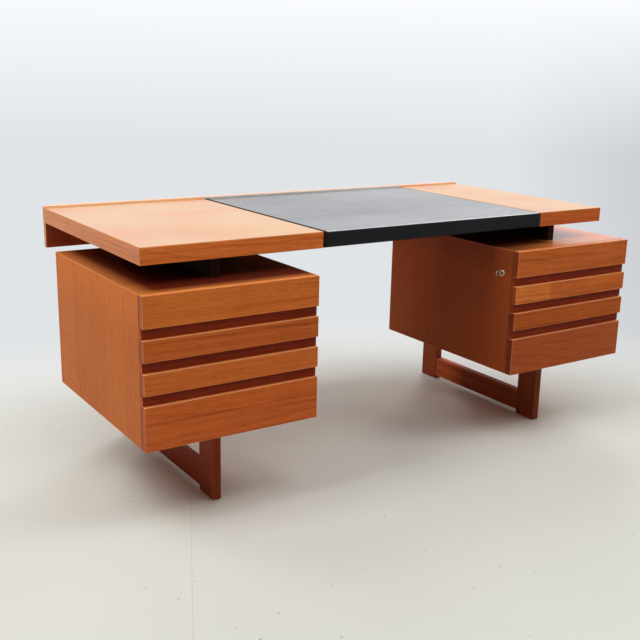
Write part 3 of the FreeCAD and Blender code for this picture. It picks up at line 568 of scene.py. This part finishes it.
def finishBoards():
    count = 0
    for name, node in nodes.items():
        kinds = [kind for kind in boards if name == kind or name.endswith("_" + kind)]
        if not kinds:
            continue
        board = {**boards[max(kinds, key=len)], **ownTouches.get(name, {})}
        outer, inner = ("left", "right") if name.startswith("left") else ("right", "left")
        if board["wood"] == "teak_front":
            board["paintedSideShading"] = {outer: frontEnds["outer"]["tint"], inner: frontEnds["inner"]["tint"]}
            board["polishedEnds"] = {outer: frontEnds["outer"]["polish"]}
        if board["wood"] == "teak_strip":
            board["paintedSideShading"] = {outer: stripEnds["tint"]}
        count += 1
        node.data.materials.clear()
        node.data.materials.append(woodFinish(name + "_wood", board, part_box(name), float(count)))
    print("wood:", count, "boards")


finishBoards()


# metal and plastic finishes

metals = {
    "nickel": {"colour": (196, 186, 168), "roughness": 0.28, "brushWaves": (300, 900, 900)},
    "plug": {"colour": (128, 112, 94), "roughness": 0.34, "brushWaves": (300, 900, 900)},
    "steel": {"colour": (176, 178, 180), "roughness": 0.34, "brushWaves": (900, 200, 900)},
}
metalWear = {"waves": (160, 160, 160), "span": (0.45, 0.7), "tint": (0.62, 0.56, 0.48), "share": 0.5,
             "tarnishRough": 0.14, "brushRough": 0.18, "bump": 0.12, "bumpDepth": 0.0001}
glidePlastic = {"colour": (38, 37, 36), "worn": (74, 70, 66), "waves": (220, 220, 220), "span": (0.3, 0.7),
                "roughness": (0.5, 0.7), "bump": 0.2, "bumpDepth": 0.0002}


def metalFinish(name, look):
    material, shader = newMaterial(name, Metallic=1.0)
    point = addNode("TexCoord").outputs["Object"]
    brushed = noise(point, look["brushWaves"], 3.0)
    tarnish = remap(noise(point, metalWear["waves"], 3.0), *metalWear["span"])
    bright = paint(*look["colour"])
    dull = (*(np.array(bright[:3]) * metalWear["tint"]), 1.0)
    feed(shader["Base Color"], mixed(times(tarnish, metalWear["share"]), bright, dull))
    rough = timesPlus(tarnish, metalWear["tarnishRough"], look["roughness"] - metalWear["brushRough"] / 2)
    feed(shader["Roughness"], timesPlus(brushed, metalWear["brushRough"], rough))
    bumped(shader, brushed, metalWear["bump"], metalWear["bumpDepth"])
    return material


def plasticFinish(name, look):
    material, shader = newMaterial(name)
    point = addNode("TexCoord").outputs["Object"]
    wear = noise(point, look["waves"], 3.0)
    feed(shader["Base Color"], mixed(wear, paint(*look["colour"]), paint(*look["worn"])))
    feed(shader["Roughness"], remap(wear, *look["span"], *look["roughness"]))
    bumped(shader, wear, look["bump"], look["bumpDepth"])
    return material


nickel = metalFinish("nickel_plate", metals["nickel"])
steel = metalFinish("zinc_steel", metals["steel"])
hardware = {"lock_sleeve": nickel, "lock_plug": metalFinish("worn_plug", metals["plug"]), "lock_key": nickel,
            "lock_bar": steel, "lock_bar_guides": steel, "wood_screws": steel, "post_bolts": nickel,
            "floor_glides": plasticFinish("glide_plastic", glidePlastic)}
for name, node in nodes.items():
    for kind, material in hardware.items():
        if name == kind or name.endswith("_" + kind):
            node.data.materials.clear()
            node.data.materials.append(material)
print("metal:", len(hardware), "kinds")


# new pieces

meshing = {"weld": 1e-7, "sharpAngle": 38}  # metres and degrees


def gridFaces(rows, columns, closedRows=False, closedColumns=False):
    # quads of a grid of points, joined up with itself where a direction is closed
    index = np.arange(rows * columns).reshape(rows, columns)
    if closedRows:
        index = np.vstack((index, index[:1]))
    if closedColumns:
        index = np.hstack((index, index[:, :1]))
    return np.stack((index[:-1, :-1], index[1:, :-1], index[1:, 1:], index[:-1, 1:]), -1).reshape(-1, 4)


def addPiece(name, points, faces, material, body, replaced):
    mesh = bpy.data.meshes.new(name)
    mesh.from_pydata(points.reshape(-1, 3).tolist(), [], faces.tolist())
    work = bmesh.new()
    work.from_mesh(mesh)
    bmesh.ops.remove_doubles(work, verts=work.verts, dist=meshing["weld"])
    bmesh.ops.recalc_face_normals(work, faces=work.faces)
    work.to_mesh(mesh)
    work.free()
    mesh.polygons.foreach_set("use_smooth", np.ones(len(mesh.polygons), bool))
    mesh.set_sharp_from_angle(angle=math.radians(meshing["sharpAngle"]))
    mesh.materials.append(material)
    piece = bpy.data.objects.new(name, mesh)
    scene.collection.objects.link(piece)
    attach(piece, body)
    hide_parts(replaced)
    return piece


def quarterArc(centre, radii, fromAngle, count=9):
    # a quarter of an ellipse, from an angle in quarter turns
    angle = (fromAngle + np.linspace(0, 1, count)) * np.pi / 2
    return np.stack((centre[0] + radii[0] * np.cos(angle), centre[1] + radii[1] * np.sin(angle)), 1)


def turnedRows(outline, centre, axis, steps, hexShare=None):
    # outline points are (depth, radius): each is carried round the axis through the centre;
    # where hexShare is 1 the circle becomes a hexagon whose corners lie on it
    axis = np.array(axis, float)
    angle = np.linspace(0, 2 * np.pi, steps, endpoint=False)
    hexagon = np.cos(np.pi / 6) / np.cos(np.mod(angle, np.pi / 3) - np.pi / 6)
    share = np.zeros(len(outline)) if hexShare is None else np.asarray(hexShare, float)
    radius = outline[:, 1:] * (1 + share[:, None] * (hexagon - 1))
    across, up = np.roll(axis, 1), np.roll(axis, 2)
    return (np.array(centre) + outline[:, :1, None] * axis
            + (radius * np.cos(angle))[..., None] * across + (radius * np.sin(angle))[..., None] * up)


# leather over the middle of the top

hide = {
    "bend": 0.004, "turnUnder": 0.045, "thickness": 0.0015, "borderDrop": 0.0013, "borderWidth": 0.005,
    "points": {"top": 60, "front": 9, "under": 7, "border": 7, "middle": 88},
    "colour": (22, 23, 26), "worn": (46, 48, 52), "rubWidth": 0.005, "rubShare": 0.5, "smearShare": 0.35,
    "dust": (190, 188, 184), "dustShare": 0.3,
    "pebbles": 620, "pebbleSpan": (0.0, 0.22), "crookedWaves": (310, 330, 350), "crooked": 0.0012,
    "pullWaves": (14, 60, 60), "pullHeight": 0.6, "bump": 0.1, "bumpDepth": 0.0002,
    "roughness": 0.3, "pullRough": 0.1, "smearRough": 0.15, "polishRough": 0.27, "smearDull": 0.15,
    # painted shade in the creased borders, wide at the left and narrow at the right
    "crease": {"left": 0.0145, "right": 0.002}, "creaseSoft": 0.7, "creaseShade": (46, 33, 27),
    # a painted highlight on the upper half of the front bend
    "arris": (205, 207, 212), "arrisShare": 0.6,
    "arrisDrop": (0.5, 0.2), "arrisBack": (1.4, 0.9),  # in bends
    # painted sheen: the top's shine is raised towards the right and the front
    "shine": 0.12, "paintedSheen": 0.9, "paintedSheenSpan": (0.45, 0.8),  # shares of the width
    "frontPaintedSheen": 1.0, "frontSpan": (0.22, 0.03),  # metres from the front
}


def hideFinish():
    material, shader = newMaterial("black_hide", **{"Coat Roughness": hide["polishRough"]})
    coords = addNode("TexCoord").outputs
    point = coords["Object"]
    x, y, z = split(point)
    low, high, bend = hideLow, hideHigh, hide["bend"]
    hand = useGroup(handling, Point=point, Face=coords["Normal"])
    # pebble grain in crooked cells, and pull lines across the hide
    wander = combine(*[noise(point, (waves, waves, waves)) for waves in hide["crookedWaves"]])
    cells = addNode("TexVoronoi", feature="DISTANCE_TO_EDGE")
    feed(cells.inputs["Vector"], vectorCalc("ADD", point, scaled(wander, hide["crooked"])))
    cells.inputs["Scale"].default_value = hide["pebbles"]
    pebble = remap(cells.outputs["Distance"], *hide["pebbleSpan"])
    pull = noise(point, hide["pullWaves"], 3.0)
    bumped(shader, timesPlus(pull, hide["pullHeight"], pebble), hide["bump"], hide["bumpDepth"])
    # only the front edges are rubbed, so the box is a metre longer at the sides and the back
    wearAndGlint = useGroup(edgeWearAndGlint, Point=point, Low=low - Vector((1, 0, 0)), High=high + Vector((1, 1, 0)),
                   Width=hide["rubWidth"])["WearAndGlint"]
    worn = calc("MAXIMUM", times(wearAndGlint, hide["rubShare"]), times(hand["Smear"], hide["smearShare"]))
    colour = mixed(worn, paint(*hide["colour"]), paint(*hide["worn"]))
    # painted highlight on the upper half of the front bend
    dropped = remap(z, *[high.z - bend * share for share in hide["arrisDrop"]], 0.0, hide["arrisShare"])
    arris = times(dropped, remap(y, *[low.y + bend * share for share in hide["arrisBack"]]))
    colour = mixed(arris, colour, paint(*hide["arris"]))
    # painted shade: both borders are creased down into the groove and painted dark there without polish,
    # wide at the left and narrow at the right
    left, right = hide["crease"]["left"], hide["crease"]["right"]
    flat = calc("MINIMUM", remap(x, low.x + left * hide["creaseSoft"], low.x + left),
                remap(x, high.x - right * hide["creaseSoft"], high.x - right))
    colour = mixed(flat, paint(*hide["creaseShade"]), colour)
    dust = times(hand["Dust"], hide["dustShare"])
    feed(shader["Base Color"], mixed(dust, colour, paint(*hide["dust"])))
    rough = timesPlus(pull, hide["pullRough"], hide["roughness"] - hide["pullRough"] / 2)
    feed(shader["Roughness"], timesPlus(hand["Smear"], hide["smearRough"], rough))
    # painted sheen: the top's shine is raised towards the right and the front
    onTop = calc("GREATER_THAN", z, high.z - bend / 2)
    rightward = [low.x + share * (high.x - low.x) for share in hide["paintedSheenSpan"]]
    paintedSheen = calc("ADD", remap(x, *rightward, 0.0, hide["paintedSheen"]),
                remap(y, *[low.y + away for away in hide["frontSpan"]], 0.0, hide["frontPaintedSheen"]))
    shine = timesPlus(onTop, paintedSheen, hide["shine"])
    feed(shader["Specular IOR Level"], times(flat, shine))
    polish = timesPlus(hand["Smear"], -hide["smearDull"], 1.0)
    feed(shader["Coat Weight"], times(times(hand["Upward"], flat), polish))
    return material


def leatherCover():
    # a profile in Y and Z (top, bend, front, bend, underside) carried along X, with a second skin inside;
    # the outer skin is pared away towards both borders by a cosine
    low, high, bend, points = hideLow, hideHigh, hide["bend"], hide["points"]
    upper = quarterArc((low.y + bend, high.z - bend), (bend, bend), 1)
    lower = quarterArc((low.y + bend, low.z + bend), (bend, bend), 2)
    top = np.linspace((high.y, high.z), (low.y + bend, high.z), points["top"])
    front = np.linspace((low.y, high.z - bend), (low.y, low.z + bend), points["front"])
    under = np.linspace((low.y + bend, low.z), (low.y + hide["turnUnder"], low.z), points["under"])
    profile = np.concatenate((top[:-1], upper, front[1:-1], lower, under[1:]))
    ahead = np.gradient(profile, axis=0)
    outward = np.stack((ahead[:, 1], -ahead[:, 0]), 1) / np.linalg.norm(ahead, axis=1, keepdims=True)
    width = hide["borderWidth"]
    border = np.linspace(0, width, points["border"])
    middle = np.linspace(low.x + width, high.x - width, points["middle"])[1:-1]
    across = np.concatenate((low.x + border, middle, (high.x - border)[::-1]))
    inset = np.minimum(across - low.x, high.x - across)
    pared = hide["borderDrop"] * 0.5 * (1 + np.cos(np.pi * np.clip(inset / width, 0, 1)))
    outer = profile[:, None, :] - outward[:, None, :] * pared[None, :, None]
    inner = np.repeat((profile - outward * hide["thickness"])[:, None, :], len(across), axis=1)
    skin = np.concatenate((outer, inner[::-1]))
    rows, columns = skin.shape[:2]
    row = np.arange(rows // 2 - 1)
    ends = np.stack((row + 1, row, rows - 1 - row, rows - 2 - row), 1) * columns
    faces = np.concatenate((gridFaces(rows, columns, closedRows=True), ends, ends[:, ::-1] + columns - 1))
    skin = np.concatenate((np.broadcast_to(across, skin.shape[:2])[..., None], skin), 2)
    piece = addPiece("leather_top", skin, faces, hideFinish(), "desk", "leather_cover")
    print("leather:", rows, "by", columns, "points")


leatherCover()


# lock sleeves, key and bolts

lockTrim = {"flange": 0.0025, "rimRound": 0.0019, "countersink": 0.0006, "faceDrop": 0.0002,
            "faceRound": 0.0004, "neckRadius": 0.009, "boreGap": 0.00005, "steps": 72}


def lockSleeve(side):
    # an outline of depth and radius (countersink, face, rim, flange, neck, bore) turned about the axis
    low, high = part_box(side + "_lock_sleeve")
    plugLow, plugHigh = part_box(side + "_lock_plug")
    rim = (high.y - low.y) / 2
    bore = (plugHigh.y - plugLow.y) / 2 + lockTrim["boreGap"]
    mouth = bore + lockTrim["countersink"]
    depth = high.x - low.x
    rounding, flange, neck = lockTrim["rimRound"], lockTrim["flange"], lockTrim["neckRadius"]
    start = [(lockTrim["countersink"], bore), (lockTrim["faceDrop"], mouth),
             (0, mouth + lockTrim["faceRound"])]
    arc = quarterArc((rounding, rim - rounding), (-rounding, rounding), 0)
    end = [(flange, rim), (flange, neck), (depth, neck), (depth, bore)]
    outline = np.concatenate((start, arc, end))
    inward = pedestalSides[side]
    centre = (low + high) / 2
    centre.x = low.x if inward > 0 else high.x
    points = turnedRows(outline, centre, (inward, 0, 0), lockTrim["steps"])
    faces = gridFaces(*points.shape[:2], closedRows=True, closedColumns=True)
    addPiece(side + "_lock_ring", points, faces, nickel, "desk", side + "_lock_sleeve")


keyShape = {"hole": 0.0055, "bladeHeight": 0.007, "bladeGap": 0.001, "toothDepth": 0.0022, "teeth": 4,
            "plainShare": 0.55, "squareness": 0.5, "sectionSteps": 24, "bowSteps": 64, "bladeSteps": 60}


def lockKey():
    # the bow is a squarish section carried round a circle, the blade such a section carried along X,
    # with its lower edge cut into teeth by a cosine
    low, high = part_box("right_lock_key")
    middle = (low + high) / 2
    thick = (high.y - low.y) / 2
    bowRadius, hole = (high.z - low.z) / 2, keyShape["hole"]
    turn = np.linspace(0, 2 * np.pi, keyShape["sectionSteps"], endpoint=False)
    wide = np.sign(np.cos(turn)) * np.abs(np.cos(turn)) ** keyShape["squareness"]
    deep = thick * np.sign(np.sin(turn)) * np.abs(np.sin(turn)) ** keyShape["squareness"]
    circle = np.linspace(0, 2 * np.pi, keyShape["bowSteps"], endpoint=False)[:, None]
    reach = (bowRadius + hole) / 2 + wide * (bowRadius - hole) / 2
    bow = np.stack((low.x + bowRadius + reach * np.cos(circle), middle.y + deep + 0 * circle,
                    middle.z + reach * np.sin(circle)), -1)
    along = np.linspace(0, 1, keyShape["bladeSteps"])[:, None]
    toothed = along > keyShape["plainShare"]
    cut = keyShape["toothDepth"] * np.clip(np.cos(along * 2 * np.pi * keyShape["teeth"]), 0, 1) * toothed
    closing = np.where((along == 0) | (along == 1), 0.0, 1.0)
    start = low.x + bowRadius + hole + keyShape["bladeGap"]
    half = keyShape["bladeHeight"] / 2
    rise = np.where(wide < 0, wide * (half - cut), wide * half)
    blade = np.stack((start + along * (high.x - start) + 0 * turn, middle.y + deep * closing,
                      middle.z + rise * closing), -1)
    bowFaces = gridFaces(*bow.shape[:2], closedRows=True, closedColumns=True)
    bladeFaces = gridFaces(*blade.shape[:2], closedColumns=True) + bow.shape[0] * bow.shape[1]
    points = np.concatenate((bow.reshape(-1, 3), blade.reshape(-1, 3)))
    faces = np.concatenate((bowFaces, bladeFaces))
    addPiece("lock_key", points, faces, nickel, "right_lock", "right_lock_key")


boltShape = {"headRadius": 0.009, "headThick": 0.003, "domeRim": 0.0014, "domeSteps": 12,
             "socketRadius": 0.0031, "socketDepth": 0.0021, "socketDrop": 0.0002, "socketLip": 0.0004,
             "shankRadius": 0.00395, "nutRadius": 0.007, "nutThick": 0.006, "steps": 48}


def postBolts():
    # an outline (hexagon socket, domed head, shank, nut) turned about each bolt's axis, back to front
    low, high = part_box("post_bolts")
    head, socket, thick = boltShape["headRadius"], boltShape["socketRadius"], boltShape["headThick"]
    shank, nut, deep = boltShape["shankRadius"], boltShape["nutRadius"], boltShape["socketDepth"]
    length = high.y - low.y
    nutStart = length - boltShape["nutThick"]
    inside = np.array([(deep, 0), (deep, socket), (boltShape["socketDrop"], socket)])
    dome = np.linspace(0, np.pi / 2, boltShape["domeSteps"])[:, None]
    mouth = socket + boltShape["socketLip"]
    crown = np.hstack((boltShape["domeRim"] * (1 - np.cos(dome)), mouth + (head - mouth) * np.sin(dome)))
    neck = np.array([(thick, head), (thick, shank), (nutStart, shank)])
    end = np.array([(nutStart, nut), (length, nut), (length, 0)])
    outline = np.concatenate((inside, crown, neck, end))
    hexShare = np.concatenate((np.ones(len(inside)), np.zeros(len(crown) + len(neck)), np.ones(len(end))))
    places = [(x, high.y, z) for x in (low.x + head, high.x - head) for z in (low.z + head, high.z - head)]
    sets = [turnedRows(outline, place, (0, -1, 0), boltShape["steps"], hexShare) for place in places]
    one = gridFaces(*sets[0].shape[:2], closedColumns=True)
    count = sets[0].shape[0] * sets[0].shape[1]
    faces = np.concatenate([one + count * number for number in range(len(sets))])
    addPiece("dome_bolts", np.concatenate(sets), faces, nickel, "desk", "post_bolts")


for side in pedestalSides:
    lockSleeve(side)
lockKey()
postBolts()
print("hardware: lock rings, key, bolts")


# stage, lamps and camera

studio = {
    "radius": 7.0, "rings": 24, "turns": 96, "floor": (206, 206, 198), "floorCloud": (202, 202, 194),
    "floorRough": 0.8, "floorShine": 0.1, "cloudWaves": (1.3, 1.3, 1.3), "cloudSpan": (0.3, 0.7),
    "marks": (120, 114, 106), "markShare": 0.45, "speckWaves": (48, 48, 48), "speckSpan": (0.755, 0.79),
    "joints": [{"through": (-0.708, -0.336, 0.0), "across": (0.904, -0.428, 0.0)},
               {"through": (0.158, 0.278, 0.0), "across": (0.398, 0.917, 0.0)}],
    "jointWidth": 0.0016, "jointSpan": (0.35, 0.65),
    "litCentre": (-0.6, -1.6, 0.0), "litSpan": (2.1, 3.1),
    "skyLow": (225, 228, 231), "skyHigh": (250, 252, 255), "skySpan": (-0.075, 0.075),
    "skyDim": (203, 205, 209), "dimSpan": (0.70, 0.80), "ambient": (240, 245, 255), "ambientStrength": 0.04,
}
# softboxes all round at one distance: degrees clockwise from straight behind the desk, degrees up, and watts
softbox = {"distance": 8.0, "size": 3.0, "middle": (0.0, -0.1, 0.3)}
lamps = {
    "back_low": {"turn": 0, "height": 28, "power": 67, "mirrored": False},
    "back_right_low": {"turn": 45, "height": 28, "power": 290, "mirrored": False},
    "back_high": {"turn": 0, "height": 50, "power": 40, "mirrored": False},
    "right_high": {"turn": 90, "height": 52, "power": 72},
    "front_right_high": {"turn": 135, "height": 50, "power": 176},
    "front_left_high": {"turn": 225, "height": 50, "power": 56},
    "left_high": {"turn": 270, "height": 49, "power": 190},
    "back_left_high": {"turn": 315, "height": 50, "power": 144, "mirrored": False},
    "front_over": {"turn": 180, "height": 70, "power": 118},
    "left_over": {"turn": 270, "height": 70, "power": 103},
}
# the photograph's viewpoint: lens in pixels of a 640 wide image, place in metres, angles in degrees
viewpoint = {"focal": 937.4, "imageWidth": 640, "place": (-1.7118, -2.4540, 1.1568),
             "yaw": 33.641, "pitch": 14.882, "roll": 1.294}


def raysThatSee():
    path = addNode("LightPath").outputs
    return calc("MAXIMUM", path["Is Camera Ray"],
                calc("MAXIMUM", path["Is Glossy Ray"], path["Is Transmission Ray"]))


def lowBackdrop(outward):
    # the backdrop near the floor, which gets less light towards the right
    x, _, _ = split(outward)
    return mixed(remap(x, *studio["dimSpan"]), paint(*studio["skyLow"]), paint(*studio["skyDim"]))


def mixedShaders(factor, first, second):
    return filled(addNode("MixShader"), factor, first.outputs[0], second.outputs[0])


def floorFinish():
    # lit floor near the desk; further out the rays that see it get the backdrop's own colour
    material, shader = newMaterial("studio_floor", Roughness=studio["floorRough"],
                                   **{"Specular IOR Level": studio["floorShine"]})
    point = addNode("TexCoord").outputs["Object"]
    cloud = noise(point, studio["cloudWaves"], 3.0)
    colour = mixed(remap(cloud, *studio["cloudSpan"]), paint(*studio["floor"]),
                   paint(*studio["floorCloud"]))
    marks = remap(noise(point, studio["speckWaves"], 1.0), *studio["speckSpan"])
    width = studio["jointWidth"]
    for joint in studio["joints"]:  # two hairline joints, which come and go
        fromLine = vectorCalc("SUBTRACT", point, joint["through"])
        off = calc("ABSOLUTE", dot(fromLine, joint["across"]))
        line = remap(off, width / 2, width, 1.0, 0.0)
        marks = calc("MAXIMUM", marks, times(line, remap(cloud, *studio["jointSpan"])))
    marked = times(marks, studio["markShare"])
    feed(shader["Base Color"], mixed(marked, colour, paint(*studio["marks"])))
    outward = vectorCalc("NORMALIZE", vectorCalc("SUBTRACT", point, viewpoint["place"]), (0, 0, 0))
    glow = addNode("Emission")
    feed(glow.inputs["Color"], lowBackdrop(outward))
    far = remap(vectorCalc("DISTANCE", point, studio["litCentre"], "Value"), *studio["litSpan"])
    above = mixedShaders(times(far, raysThatSee()), tree.nodes["Principled BSDF"], glow)
    under = addNode("NewGeometry").outputs["Backfacing"]  # seen from underneath the floor is clear
    both = mixedShaders(under, above, addNode("BsdfTransparent"))
    feed(tree.nodes["Material Output"].inputs["Surface"], both.outputs[0])
    return material


def studioFloor():
    # a disc: radius along one parameter, turn along the other
    reach = studio["radius"] * np.linspace(0, 1, studio["rings"])[:, None]
    turn = np.linspace(0, 2 * np.pi, studio["turns"], endpoint=False)
    points = np.stack((reach * np.cos(turn), reach * np.sin(turn), 0 * reach * turn), -1)
    faces = gridFaces(studio["rings"], studio["turns"], closedColumns=True)
    mesh = bpy.data.meshes.new("studio_floor")
    mesh.from_pydata(points.reshape(-1, 3).tolist(), [], faces.tolist())
    mesh.materials.append(floorFinish())
    floor = bpy.data.objects.new("studio_floor", mesh)
    scene.collection.objects.link(floor)


def studioWorld():
    # a backdrop that is paler higher up for the rays that see it, and a faint fill for the rest
    global tree
    world = bpy.data.worlds.new("studio")
    scene.world = world
    world.use_nodes = True
    tree = world.node_tree
    tree.nodes.clear()
    outward = addNode("TexCoord").outputs["Generated"]
    _, _, up = split(outward)
    sky = addNode("Background")
    colour = mixed(remap(up, *studio["skySpan"]), lowBackdrop(outward), paint(*studio["skyHigh"]))
    feed(sky.inputs["Color"], colour)
    fill = addNode("Background")
    fill.inputs["Color"].default_value = paint(*studio["ambient"])
    fill.inputs["Strength"].default_value = studio["ambientStrength"]
    mix = mixedShaders(raysThatSee(), fill, sky)
    feed(addNode("OutputWorld").inputs["Surface"], mix.outputs[0])


def studioLamps():
    for name, look in lamps.items():
        lamp = bpy.data.lights.new(name, "AREA")
        lamp.shape = "SQUARE"
        lamp.size = softbox["size"]
        lamp.energy = look["power"]
        box = bpy.data.objects.new(name, lamp)
        turn, height = math.radians(look["turn"]), math.radians(look["height"])
        box.location = softbox["distance"] * Vector((math.sin(turn) * math.cos(height),
                                                     math.cos(turn) * math.cos(height), math.sin(height)))
        towards = Vector(softbox["middle"]) - box.location
        box.rotation_euler = towards.to_track_quat("-Z", "Y").to_euler()
        box.visible_glossy = look.get("mirrored", True)
        scene.collection.objects.link(box)


def photoCamera():
    yaw, pitch, roll = (math.radians(viewpoint[key]) for key in ("yaw", "pitch", "roll"))
    ahead = Vector((math.sin(yaw) * math.cos(pitch), math.cos(yaw) * math.cos(pitch), -math.sin(pitch)))
    level = Vector((math.cos(yaw), -math.sin(yaw), 0))
    plumb = level.cross(ahead)
    right = level * math.cos(roll) + plumb * math.sin(roll)
    up = plumb * math.cos(roll) - level * math.sin(roll)
    lens = bpy.data.cameras.new("camera")
    lens.lens = viewpoint["focal"] / viewpoint["imageWidth"] * lens.sensor_width
    camera = bpy.data.objects.new("camera", lens)
    turned = Matrix((right, up, -ahead)).transposed().to_4x4()
    camera.matrix_world = Matrix.Translation(viewpoint["place"]) @ turned
    scene.collection.objects.link(camera)
    scene.camera = camera


studioFloor()
studioWorld()
studioLamps()
photoCamera()
print("stage:", len(lamps), "lamps")
